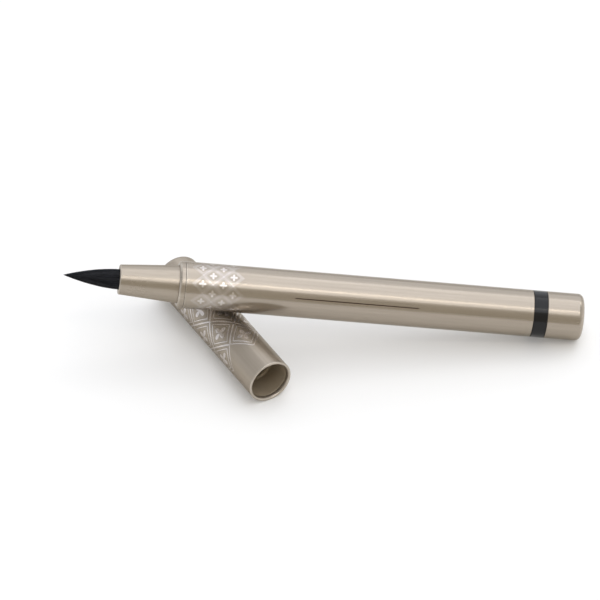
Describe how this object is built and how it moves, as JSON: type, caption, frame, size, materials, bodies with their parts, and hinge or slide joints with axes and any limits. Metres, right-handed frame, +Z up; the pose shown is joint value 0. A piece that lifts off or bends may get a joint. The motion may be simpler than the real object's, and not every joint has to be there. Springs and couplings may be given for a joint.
{
  "type": "brush eyeliner pen",
  "caption": "Slim brush eyeliner pen with a pointed brush, tapered nozzle, dark band near the tail, and its pull-off cap lying under it.",
  "frame": {"origin": "on the table, under the middle of the bounding box of the propped pen and its cap", "axes": "+Z up, +X along the pen's plan direction towards its tail, brush towards -X, cap mouth towards -Y"},
  "size_m": [0.1163, 0.0426, 0.0224],
  "materials": {
    "champagne_metal": "satin champagne lacquer with fine lengthwise streaks, hot foil trellis on barrel and cap",
    "champagne_plastic": "satin champagne metallised coat",
    "black_plastic": "gloss black",
    "brush_hair": "ink-black synthetic hair",
    "grey_plastic": "moulded",
    "white_plastic": "moulded, slightly translucent",
    "seal_rubber": "matt rubber",
    "feed_fibre": "bonded fibre, inked",
    "ball_steel": "polished",
    "liner_plastic": "bronze moulded",
    "spring_steel": "bright wire"
  },
  "bodies": {
    "pen": {"barrel": "champagne_metal", "shade_ring": "black_plastic", "tail_cap": "champagne_metal", "shoulder_ring": "champagne_metal", "nozzle": "champagne_plastic", "nozzle_seal": "seal_rubber", "brush_plug": "white_plastic", "brush_collar": "grey_plastic", "brush_tuft": "brush_hair", "ink_tank": "white_plastic", "tank_plug": "grey_plastic", "tank_gasket": "seal_rubber", "collector": "grey_plastic", "feed_core": "feed_fibre"},
    "mixing_ball_1": {"mixing_ball_1": "ball_steel"},
    "mixing_ball_2": {"mixing_ball_2": "ball_steel"},
    "cap": {"cap_shell": "champagne_metal", "cap_liner": "liner_plastic", "cap_spring": "spring_steel"},
    "inner_cap": {"inner_cap": "liner_plastic"}
  },
  "joints": [
    {"name": "cap_pull", "type": "slide", "parent": "pen", "child": "cap", "axis": [0.4695, -0.8829, 0], "range_m": [0, 0.045]},
    {"name": "inner_cap_press", "type": "slide", "parent": "cap", "child": "inner_cap", "axis": [-0.4695, 0.8829, 0], "range_m": [0, 0.002], "stiffness_N_per_m": 150, "springref_m": -0.001, "deforming": ["cap_spring"]},
    {"name": "mixing_ball_2_roll", "type": "slide", "parent": "pen", "child": "mixing_ball_2", "axis": [-0.9908, 0, 0.135], "range_m": [0, 0.032]},
    {"name": "mixing_ball_1_roll", "type": "slide", "parent": "pen", "child": "mixing_ball_1", "axis": [-0.9908, 0, 0.135], "range_m": [0, 0.032]}
  ],
  "couplings": [
    {"joint": "mixing_ball_1_roll", "follows": "mixing_ball_2_roll", "ratio": 1}
  ]
}
